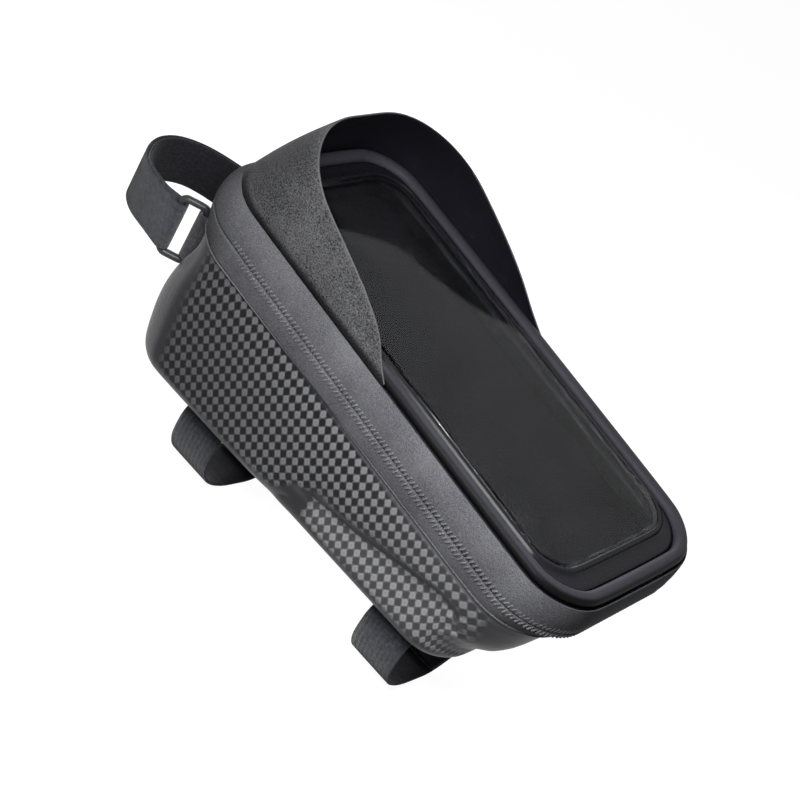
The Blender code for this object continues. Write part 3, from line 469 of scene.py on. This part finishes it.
# Coated cloths and grained sheets: name, dark and light tone; roughness, scale of the pebbles, scale of the speckle,
# depth of the grain; and for some the shine and the attribute that paints light and shade on them.
GRAINED = {
    "band": ("coated_band_cloth", (0.026, 0.026, 0.030), (0.094, 0.094, 0.101),
             0.70, 1500.0, 3200.0, 0.00012),
    "roll": ("lid_roll_cloth", (0.016, 0.016, 0.020), (0.034, 0.033, 0.040),
             0.50, 1500.0, 3500.0, 0.00010, 0.06, "flank_shade"),
    "board": ("board_cover", (0.012, 0.012, 0.014), (0.022, 0.022, 0.025),
              0.85, 1200.0, 2500.0, 0.0001),
    "visor_out": ("visor_grain", (0.004, 0.004, 0.005), (0.082, 0.082, 0.087),
                  0.50, 1000.0, 2000.0, 0.00026, 0.05, "reach"),
    "visor_in": ("visor_lining", (0.004, 0.004, 0.006), (0.008, 0.008, 0.011),
                 0.45, 1400.0, 3000.0, 0.00006, 0.05),
    # The cut edge is lighter, partly as its own colour and partly as a painted sheen.
    "visor_edge": ("visor_cut_edge_and_sheen", (0.050, 0.050, 0.053), (0.090, 0.090, 0.095),
                   0.5, 1400.0, 3000.0, 0.00004),
    "tray": ("tray_fleece", (0.004, 0.004, 0.005), (0.010, 0.010, 0.012),
             0.92, 900.0, 2200.0, 0.0003),
    "teeth": ("zip_tooth_plastic", (0.030, 0.030, 0.034), (0.050, 0.050, 0.054),
              0.40, 1500.0, 3000.0, 0.00003),
    "marks": ("zip_mark_cloth", (0.040, 0.040, 0.044), (0.130, 0.130, 0.137),
              0.42, 1500.0, 2200.0, 0.00012, 0.15),
    # The bead's lighter tone is a painted highlight along the band's lower edge.
    "bead": ("band_edge_bead_highlight", (0.050, 0.050, 0.053), (0.090, 0.090, 0.094),
             0.40, 1500.0, 3200.0, 0.00004, 0.1),
    "metal": ("zip_slider_enamel", (0.020, 0.020, 0.023), (0.032, 0.032, 0.035),
              0.30, 1500.0, 3000.0, 0.00002, 0.4),
    "ring": ("ring_moulding", (0.018, 0.019, 0.021), (0.034, 0.035, 0.037),
             0.34, 1400.0, 3000.0, 0.00004, 0.2),
    "thread": ("stitching_thread", (0.030, 0.030, 0.034), (0.060, 0.060, 0.066),
               0.60, 2500.0, 4000.0, 0.00003),
}

# Straps: name, dark and light tone, axis across the strap, ribs per metre; and for some the depth and the sheen.
PILED = {
    "strap": ("strap_outer_pile", (0.010, 0.011, 0.016), (0.044, 0.046, 0.058), "Z", 2600.0),
    "strap_in": ("strap_inner_weave", (0.004, 0.004, 0.006), (0.014, 0.014, 0.018), "Z", 800.0, 0.0002, 0.03),
    "low_strap": ("low_strap_pile", (0.012, 0.012, 0.017), (0.042, 0.043, 0.053), "X", 500.0, 0.0004),
    "tab": ("tab_webbing", (0.030, 0.030, 0.036), (0.078, 0.078, 0.090), "Z", 1400.0),
    "elastic": ("pocket_elastic", (0.010, 0.010, 0.012), (0.024, 0.024, 0.028), "X", 700.0),
}

MATERIALS = {"shell": shell_material()}
MATERIALS.update((key, grained(*values)) for key, values in GRAINED.items())
MATERIALS.update((key, piled(*values)) for key, values in PILED.items())


def film_material():
    made, graph, shader, place = new_material(
        "window_film_clear", Base_Color=(0.97, 0.98, 0.98), Roughness=0.03, IOR=1.12, Transmission_Weight=1.0)
    wave = graph.noise(place, 30.0, 2.0)
    bump(graph, shader, wave, 0.0004, 0.3)
    return made


def frame_material():
    made, graph, shader, place = new_material(
        "window_frame_moulding", Base_Color=(0.007, 0.007, 0.009), Roughness=0.22, Specular_IOR_Level=SHINE)
    grit = graph.noise(place, 1800.0, 2.0)
    graph.feed(shader.inputs["Roughness"], graph.range(grit, 0.3, 0.7, 0.18, 0.30))
    bump(graph, shader, grit, 0.00002)
    return made


# The shell.


def along_table(table, x, outside=0.0):
    """Read a height between the points of a table, or the value that holds outside it."""
    for (x0, z0), (x1, z1) in zip(table, table[1:]):
        if x0 <= x < x1:
            return z0 + (z1 - z0) * (x - x0) / (x1 - x0)
    return outside


def crease_height(x):
    return along_table(CREASE, x, -1.0) - along_table(CREASE_DROP, x)


def draw_crease_down(piece):
    """Shift the side walls' rows near the crease a little way down, the more the nearer they are."""
    for vertex in piece.data.vertices:
        x, y, z = vertex.co
        near = 1.0 - abs(z - along_table(CREASE, x, -1.0)) / CREASE_REACH
        if near > 0.0 and abs(y) > SIDE_WALL:
            vertex.co.z -= along_table(CREASE_DROP, x) * ease(near)


# Where the squares show on the wall. Under the seam there is a plain margin that grows towards the rear. At the front,
# counted round the wall, and at the low edge: where they begin and how fast. At the rear: where they end at and above
# a height, how far sooner below it, and how fast. At the crease: half the plain strip and its fade.
MARGIN_FRONT, MARGIN_GROWTH, MARGIN_START, MARGIN_RUN, MARGIN_FADE = 0.0003, 0.0018, -0.020, 0.065, 0.0014
SQUARES_FRONT = (0.0560, 0.0060)
SQUARES_LOW = (0.0062, 0.0034)
SQUARES_REAR, REAR_HEIGHT, REAR_LEAN, REAR_FADE = 0.0895, 0.045, 0.10, 0.0050
CREASE_PLAIN = (0.0014, 0.0010)

# The painted shade along the crease, a dark line where the step above it would shade the panel: how far under the
# crease its middle lies, its half width, how it begins at the front.
CREASE_SHADE_UNDER, CREASE_SHADE_HALF, CREASE_SHADE_START = 0.0006, 0.0011, 0.012

# The plain patch at the crease's front end: its slanted front edge, rear edge and top, each with its fade.
PATCH_FRONT, PATCH_FOOT, PATCH_LEAN, PATCH_FRONT_FADE = 0.0076, 0.0082, 0.74, 0.0020
PATCH_REAR, PATCH_REAR_FADE = 0.0078, 0.0024
PATCH_TOP, PATCH_TOP_FADE = 0.0215, 0.0020

# Brushed sheen round the front: where it ends and how fast.
BRUSHED_END, BRUSHED_FADE = 0.0550, 0.0050

# The panel under the crease: the depth over which it sets in, and where it begins along the bag.
PANEL_EDGE, PANEL_START, PANEL_RUN_IN = 0.0030, 0.002, 0.012


def squares_shown(x, z, under_seam, distance):
    """How strongly the squares show at a place on the outer wall, the crease left aside."""
    margin = MARGIN_FRONT + MARGIN_GROWTH * ramp(x, MARGIN_START, MARGIN_RUN)
    rear = SQUARES_REAR - REAR_LEAN * max(REAR_HEIGHT - z, 0.0)
    return (ramp(under_seam, margin, MARGIN_FADE) * ramp(distance, *SQUARES_FRONT)
            * ramp(rear, x, REAR_FADE) * ramp(z, *SQUARES_LOW))


def plain_patch(x, z):
    """One on the plain patch at the crease's front end and nought away from it."""
    lean = (z - PATCH_FOOT) * PATCH_LEAN
    front = ease((x + PATCH_FRONT - lean) / PATCH_FRONT_FADE + 0.5)
    rear = ease((PATCH_REAR - x) / PATCH_REAR_FADE + 0.5)
    return front * rear * ramp(PATCH_TOP, z, PATCH_TOP_FADE)


def shell_zones(piece):
    """Distance round and up the wall, how strongly squares and sheen show there, and the tones of its zones, among
    them painted light and shade.
    """
    mesh = piece.data
    names = ("along", "rise", "pattern", "brushed", "tone", "painted_crease_shade", "lift", "pale")
    for name in names:
        mesh.attributes.new(name, "FLOAT", "POINT")
    along, rise, pattern, brushed, tone, painted_crease_shade, lift, pale = (mesh.attributes[name].data for name in names)
    for index, vertex in enumerate(mesh.vertices):
        x, y, z = vertex.co
        normal = vertex.normal
        distance = outline_distance(FOOT, x, y)
        deck = TO_DECK @ vertex.co
        under_seam = SEAM_FRONT_LEVEL + (deck.x - SEAM[0]) * SEAM_SLOPE - deck.z
        over_crease = z - crease_height(x)
        share = squares_shown(x, z, under_seam, distance)
        if normal.z < -0.3:
            share *= ramp(normal.z, -0.75, 0.45)
        out = outline_walk(FOOT, 0.0, distance)[1]
        if normal.x * out[0] + normal.y * math.copysign(out[1], y) < 0.0:
            share = 0.0
        if 0.0 < x < CREASE_END:
            share *= ramp(abs(over_crease), *CREASE_PLAIN)
            # Painted shade along the crease, under its step.
            painted_crease_shade[index].value = ease(1.0 - abs(over_crease + CREASE_SHADE_UNDER) / CREASE_SHADE_HALF) * ease(x / CREASE_SHADE_START)
        share *= 1.0 - plain_patch(x, z)
        under_crease = ease(-over_crease / PANEL_EDGE) * ramp(x, PANEL_START, PANEL_RUN_IN)
        along[index].value = distance
        rise[index].value = z
        pattern[index].value = share
        brushed[index].value = ramp(BRUSHED_END, distance, BRUSHED_FADE)
        # Tone: painted light, the light squares darker at the front and lighter towards the rear and on the panel
        # under the crease, as the light falls there.
        tone[index].value = (0.52 + 0.53 * ramp(x, -0.090, 0.130)) * (1.0 + 0.40 * under_crease)
        # Lift: painted light on the dark squares, lighter under the crease and towards the rear.
        lift[index].value = max(0.9 * under_crease, 0.55 * ramp(x, 0.010, 0.060))
        pale[index].value = max(ramp(x, -0.030, 0.080) * ease(1.3 - under_seam / 0.0045),
                                0.35 * ramp(x, 0.084, 0.008))


def make_shell():
    piece = cage("shell_body", "moulded_shell")
    draw_crease_down(piece)
    subdivide(piece, 45.0, 0.6)
    shell_zones(piece)
    dress(piece, MATERIALS["shell"], "shell", "moulded_shell", "shell_body")


# Bands, roll and zip.

# The roll's flank, darker than its top as painted shade where it faces the groove: how much darker, from which facing
# on and over how much of it.
FLANK_DARKER, FLANK_START, FLANK_SPAN = 0.92, 0.25, 0.45

# Zip: where it starts on both sides. The marks fade out over its ends and at the rear.
ZIP_START = -0.0740
ZIP_ENDS, ZIP_REAR, ZIP_REAR_FADE = 0.012, 0.050, 0.030

# Teeth and slanted marks: size, bevel, height from the slit or the zip's middle, distance under the cloth, pitch.
TOOTH_SIZE, TOOTH_BEVEL = (0.0010, 0.0017, 0.0023), 0.0003
TOOTH_RISE, TOOTH_INSET, TOOTH_PITCH = 0.0012, 0.0028, 0.0016
MARK_SIZE, MARK_BEVEL = (0.00070, 0.0012, 0.0023), 0.00028
MARK_RISE, MARK_PITCH = 0.00155, 0.0017
MARK_INSET = {"lower": 0.00025, "upper": 0.0001}
MARK_SLANT, MARK_SLANT_SPREAD, MARK_SINK = math.radians(28), 0.3, 0.0008

# Bead and hem of the band: corners round them, steps over which their ends taper.
BEAD_CORNERS = 6
BEAD_TAPER = 30


def close_slit(piece):
    """Bring the two bands' lips together, so that the zip shows as one thin line."""
    for vertex in piece.data.vertices:
        place = TO_DECK @ vertex.co
        above = place.z - ZIP_LEVEL
        if abs(abs(above) - ZIP_SLIT / 2) < 0.0001:
            place.z = ZIP_LEVEL + math.copysign(SLIT_SEEN / 2, above)
            vertex.co = DECK @ place


def make_hoops():
    for node, name, stuff, body, slot, angle in (
            ("lower_zip_band", "lower_band", "band", "shell", "coated_cloth", 50.0),
            ("upper_zip_band", "upper_band", "band", "lid", "coated_cloth", 50.0),
            ("lid_stiffener", "stiffener_cover", "board", "lid", "board", 30.0),
            ("front_hinge_cloth", "hinge_cloth", "band", "shell", "coated_cloth", 50.0)):
        piece = cage(node, name)
        if "zip_band" in node:
            close_slit(piece)
        subdivide(piece, angle, 0.8)
        dress(piece, MATERIALS[stuff], body, slot, node)
    roll = cage("lid_roll", "padded_roll")
    subdivide(roll)
    # Painted shade on the roll's flank that faces the groove.
    flank_shade = roll.data.attributes.new("flank_shade", "FLOAT", "POINT").data
    for index, vertex in enumerate(roll.data.vertices):
        place, normal = TO_DECK @ vertex.co, TO_DECK.to_3x3() @ vertex.normal
        out = outline_walk(GROOVE, 0.0, outline_distance(GROOVE, place.x, place.y))[1]
        facing = normal.x * out[0] + normal.y * math.copysign(out[1], place.y)
        flank_shade[index].value = 1.0 - FLANK_DARKER * ramp(facing, FLANK_START, FLANK_SPAN)
    dress(roll, MATERIALS["roll"], "lid", "roll_cloth", "lid_roll")


def zip_places(inset, level, pitch, slant=0.0, sink=0.0):
    """Matrices along the zip's run, with X along the run, Y out of the cloth and Z up the band.

    Sink is how far a model goes under the cloth at the ends and at the rear, where it isn't seen.
    """
    places = []
    half = outline_walk(BAND, inset, 0.0)[2] / 2
    start = outline_distance(BAND, ZIP_START, BAND[2])
    length = (half - start) * 2
    count = int(length / pitch)
    for step in range(count):
        distance = start + length * (step + 0.5) / count
        (u, v), out, _ = outline_walk(BAND, inset, distance)
        from_rear = abs(distance - half)
        shown = ease((length / 2 - from_rear) / ZIP_ENDS) * ramp(from_rear, ZIP_REAR, ZIP_REAR_FADE)
        under = sink * (1.0 - shown)
        run = Vector((-out[1], out[0], 0.0))
        turn = Matrix((run, Vector((out[0], out[1], 0.0)), Vector((0.0, 0.0, 1.0)))).transposed().to_4x4()
        where = Matrix.Translation((u - out[0] * under, v - out[1] * under, level))
        tilt = slant * (1.0 + MARK_SLANT_SPREAD * math.sin(2.4 * step))
        places.append(DECK @ where @ turn @ Matrix.Rotation(tilt, 4, "Y"))
    return places


def bead(name, radius, steps, point):
    """A thin round bead with tapered ends; a function gives its places and outward directions on the deck."""
    bm = bmesh.new()
    rings = []
    for step in range(steps + 1):
        (u, v, w), out = point(step / steps)
        thin = radius * ease(min(step, steps - step) / BEAD_TAPER)
        ring = []
        for corner in range(BEAD_CORNERS):
            turn = 2 * math.pi * corner / BEAD_CORNERS
            reach = thin * math.cos(turn)
            place = Vector((u + out[0] * reach, v + out[1] * reach, w + thin * math.sin(turn)))
            ring.append(bm.verts.new(DECK @ place))
        rings.append(ring)
    for low, high in zip(rings, rings[1:]):
        for corner in range(BEAD_CORNERS):
            after = (corner + 1) % BEAD_CORNERS
            bm.faces.new((low[corner], high[corner], high[after], low[after]))
    mesh = bpy.data.meshes.new(name)
    bm.to_mesh(mesh)
    bm.free()
    piece = bpy.data.objects.new(name, mesh)
    bpy.context.scene.collection.objects.link(piece)
    only(piece)
    bpy.ops.object.mode_set(mode="EDIT")
    bpy.ops.mesh.select_all(action="SELECT")
    bpy.ops.mesh.remove_doubles(threshold=1e-7)
    bpy.ops.mesh.normals_make_consistent(inside=False)
    bpy.ops.object.mode_set(mode="OBJECT")
    bpy.ops.object.shade_smooth()
    return piece


def seam_point(distance, inset, lift):
    """Place and outward direction on the lower band's lower edge, a distance along from the front."""
    (u, v), out, _ = outline_walk(SEAM, inset, distance)
    return (u, v, SEAM_FRONT_LEVEL + (u - SEAM[0]) * SEAM_SLOPE + lift), out


def make_beads():
    """On the lower band's lower edge, a thin bead round the front, lighter than the band as a painted highlight along
    the edge, and a thicker hem round the rear.
    """
    total = outline_walk(SEAM, 0.0, 0.0)[2]
    reach = outline_distance(SEAM, 0.0, SEAM[2]) - 0.012
    first = outline_distance(SEAM, -0.0350, SEAM[2])
    front = bead("band_bead", 0.00032, 150, lambda share: seam_point((2 * share - 1) * reach % total, 0.0, 0.0002))
    dress(front, MATERIALS["bead"], "shell", "coated_cloth")
    rear = bead("band_hem", 0.00050, 160,
                lambda share: seam_point(first + (total - 2 * first) * share, 0.0002, 0.0001))
    dress(rear, MATERIALS["band"], "shell", "coated_cloth")


def make_zip():
    for row, body, sign in (("lower", "shell", -1.0), ("upper", "lid", 1.0)):
        tooth = block("tooth", TOOTH_SIZE, TOOTH_BEVEL)
        level = ZIP_LEVEL + sign * (ZIP_SLIT / 2 + TOOTH_RISE)
        teeth = many("zip_teeth_" + row, tooth, zip_places(TOOTH_INSET, level, TOOTH_PITCH))
        dress(teeth, MATERIALS["teeth"], body, "zip_plastic", "zip_coil_" + row)
        mark = block("mark", MARK_SIZE, MARK_BEVEL, 2)
        level = ZIP_LEVEL + sign * MARK_RISE
        places = zip_places(MARK_INSET[row], level, MARK_PITCH, MARK_SLANT, MARK_SINK)
        dress(many("zip_marks_" + row, mark, places), MATERIALS["marks"], body, "coated_cloth")


# Window, visor and tray.

# The visor's colour scale by height, painted light and shade: painted shade in the groove, what the side adds, what
# the lip adds as painted light; where side and lip begin and how fast.
VISOR_GROOVE, VISOR_SIDE, VISOR_LIP = 0.10, 0.76, 1.10
VISOR_SIDE_START, VISOR_SIDE_RUN = 0.0004, 0.0022
VISOR_LIP_START, VISOR_LIP_RUN = 0.022, 0.012
VISOR_MIDDLE = Vector((-0.0350, 0.0, 0.0))
CUT_EDGE_FACING = 0.60


def make_window():
    piece = cage("window_frame", "window_moulding")
    subdivide(piece, 30.0, 0.7)
    dress(piece, frame_material(), "lid", "frame_plastic", "window_frame")
    film = cage("window_film", "window_sheet")
    bpy.ops.object.mode_set(mode="EDIT")
    bpy.ops.mesh.select_all(action="SELECT")
    bpy.ops.mesh.dissolve_limited(angle_limit=math.radians(0.2))
    bpy.ops.object.mode_set(mode="OBJECT")
    subdivide(film, 40.0, 0.9)
    dress(film, film_material(), "lid", "clear_film", "window_film")


def make_visor():
    piece = cage("sun_visor", "visor_sheet")
    subdivide(piece, 40.0, 0.8)
    for made_of in ("visor_out", "visor_in", "visor_edge"):
        piece.data.materials.append(MATERIALS[made_of])
    # Painted light and shade on the visor: dark in the groove, lighter up the side and lighter still at the lip.
    reach = piece.data.attributes.new("reach", "FLOAT", "POINT").data
    for index, vertex in enumerate(piece.data.vertices):
        height = (TO_DECK @ vertex.co).z
        reach[index].value = (VISOR_GROOVE + VISOR_SIDE * ramp(height, VISOR_SIDE_START, VISOR_SIDE_RUN)
                              + VISOR_LIP * ramp(height, VISOR_LIP_START, VISOR_LIP_RUN))
    for face in piece.data.polygons:
        centre = TO_DECK @ face.center
        normal = TO_DECK.to_3x3() @ face.normal
        # Top faces take the cut-edge colour: lighter partly as the edge's own colour and partly as a painted sheen.
        if normal.z > CUT_EDGE_FACING:
            face.material_index = 2
        elif normal.dot(centre - VISOR_MIDDLE) < 0:
            face.material_index = 1
    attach(piece, "lid")
    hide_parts("sun_visor")


def make_tray():
    piece = cage("phone_tray", "tray_pad")
    round_edges(piece, 0.0007)
    dress(piece, MATERIALS["tray"], "lid", "tray_cloth", "phone_tray")
    for end in ("front", "rear"):
        band = cage("pocket_band_" + end, "elastic_" + end)
        round_edges(band, 0.0003)
        dress(band, MATERIALS["elastic"], "lid", "webbing", "pocket_band_" + end)


# Straps and ring.

# Each strap: CAD node, name here, middle of its loop, axis across it, cut width and length, what holds it.
STRAPS = (
    ("bottom_strap_front", "top_tube_strap_front", (-0.051, 0.0, -0.014), 0, (0.0200, 0.188), "strap_anchor_front"),
    ("bottom_strap_rear", "top_tube_strap_rear", (0.054, 0.0, -0.014), 0, (0.0200, 0.188), "strap_anchor_rear"),
    ("front_strap", "head_tube_strap", (-0.116, 0.0, 0.046), 2, (0.0205, 0.211), "front_ring"),
)
STITCH_SIZE, STITCH_BEVEL, STITCH_PITCH = (0.0020, 0.0005, 0.0003), 0.00012, 0.0031

# Seams of the anchor patches: middles of the patches, two rows on each side of them, half length, height.
ANCHOR_MIDDLES = (-0.0510, 0.0540)
SEAM_ROWS = (0.0128, 0.0152)
SEAM_HALF, SEAM_HEIGHT = 0.0150, -0.0014


def strap_sides(piece, centre, axis):
    """Pile on the faces that look out of the loop, plain dark weave inside it and on the cut edges."""
    piece.data.materials.append(MATERIALS["strap" if axis == 2 else "low_strap"])
    piece.data.materials.append(MATERIALS["strap_in"])
    for face in piece.data.polygons:
        out = face.center - Vector(centre)
        out[axis] = 0.0
        if face.normal.dot(out.normalized()) < -0.25 or abs(face.normal[axis]) > 0.75:
            face.material_index = 1


def make_stitching():
    """Rows of thread under the anchor patches of the two low straps."""
    out = Vector((0.0, 0.0, -1.0))
    places = []
    for middle in ANCHOR_MIDDLES:
        for side in (-1.0, 1.0):
            for reach in SEAM_ROWS:
                x = middle + side * reach
                start, end = Vector((x, -SEAM_HALF, SEAM_HEIGHT)), Vector((x, SEAM_HALF, SEAM_HEIGHT))
                run = (end - start).normalized()
                turn = Matrix((run, out.cross(run), out)).transposed().to_4x4()
                count = int((end - start).length / STITCH_PITCH)
                for step in range(count):
                    places.append(Matrix.Translation(start.lerp(end, (step + 0.5) / count)) @ turn)
    thread = many("anchor_stitching", block("stitch", STITCH_SIZE, STITCH_BEVEL), places)
    dress(thread, MATERIALS["thread"], "shell", "coated_cloth")


def make_straps():
    for node, name, centre, axis, flat, holder in STRAPS:
        piece = cage(node, name)
        subdivide(piece, 60.0, 0.85)
        strap_sides(piece, centre, axis)
        dress(piece, None, "shell", "webbing", node)
    for node, name, stuff, slot in (("front_tab", "ring_tab", "tab", "webbing"),
                                    ("strap_anchor_front", "anchor_patch_front", "band", "coated_cloth"),
                                    ("strap_anchor_rear", "anchor_patch_rear", "band", "coated_cloth")):
        piece = cage(node, name)
        subdivide(piece, 60.0, 0.85)
        dress(piece, MATERIALS[stuff], "shell", slot, node)
    ring = cage("front_ring", "moulded_ring")
    subdivide(ring)
    dress(ring, MATERIALS["ring"], "shell", "ring_plastic", "front_ring")
    make_stitching()


def finish_small_nodes():
    for node in ("zip_slider", "zip_pull", "zip_end_stop_left", "zip_end_stop_right"):
        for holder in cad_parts[node].material_slots:
            holder.material = MATERIALS["metal"]


# Floor, light and camera.


def seen_white(graph):
    """One for rays that show the background: straight to the camera, mirrored or through the film."""
    path = graph.add("ShaderNodeLightPath")
    mirrored = graph.math("MAXIMUM", path.outputs["Is Glossy Ray"], path.outputs["Is Transmission Ray"])
    return graph.math("MAXIMUM", path.outputs["Is Camera Ray"], mirrored)


def make_stage():
    bpy.ops.mesh.primitive_plane_add(size=FLOOR_SIZE, location=(0.0, 0.0, FLOOR_LEVEL))
    floor = bpy.context.active_object
    floor.name = "studio_floor"
    made, graph, shader, _ = new_material("studio_white", Base_Color=FLOOR_GREY, Roughness=1.0,
                                          Specular_IOR_Level=0.0, Emission_Color=(1.0, 1.0, 1.0))
    graph.feed(shader.inputs["Emission Strength"], graph.math("MULTIPLY", seen_white(graph), FLOOR_GLOW))
    floor.data.materials.append(made)

    world = bpy.data.worlds.new("studio")
    bpy.context.scene.world = world
    world.use_nodes = True
    graph = Graph(world.node_tree)
    back = world.node_tree.nodes["Background"]
    back.inputs["Color"].default_value = (1.0, 1.0, 1.0, 1.0)
    graph.feed(back.inputs["Strength"], graph.range(seen_white(graph), 0.0, 1.0, AMBIENT, 1.0))


def camera_matrix():
    right, up, back = Vector(CAMERA_RIGHT), -Vector(CAMERA_DOWN), -Vector(CAMERA_AHEAD)
    turn = Matrix((right, up, back)).transposed().to_4x4()
    return DECK @ Matrix.Translation(CAMERA_PLACE) @ turn


def make_camera():
    data = bpy.data.cameras.new("camera")
    data.lens = CAMERA_LENS
    data.sensor_width = CAMERA_SENSOR
    data.sensor_fit = "HORIZONTAL"
    camera = bpy.data.objects.new("camera", data)
    bpy.context.scene.collection.objects.link(camera)
    camera.matrix_world = camera_matrix()
    bpy.context.scene.camera = camera


def make_lights():
    for name, (place, target, power, size) in LAMPS.items():
        data = bpy.data.lights.new(name, "AREA")
        data.shape = "DISK"
        data.energy = power
        data.size = size
        lamp = bpy.data.objects.new(name, data)
        bpy.context.scene.collection.objects.link(lamp)
        lamp.location = place
        lamp.rotation_euler = (Vector(target) - Vector(place)).to_track_quat("-Z", "Y").to_euler()


make_shell()
make_hoops()
make_beads()
make_zip()
make_window()
make_visor()
make_tray()
make_straps()
finish_small_nodes()
make_stage()
make_camera()
make_lights()
bpy.context.scene.view_settings.view_transform = "Standard"
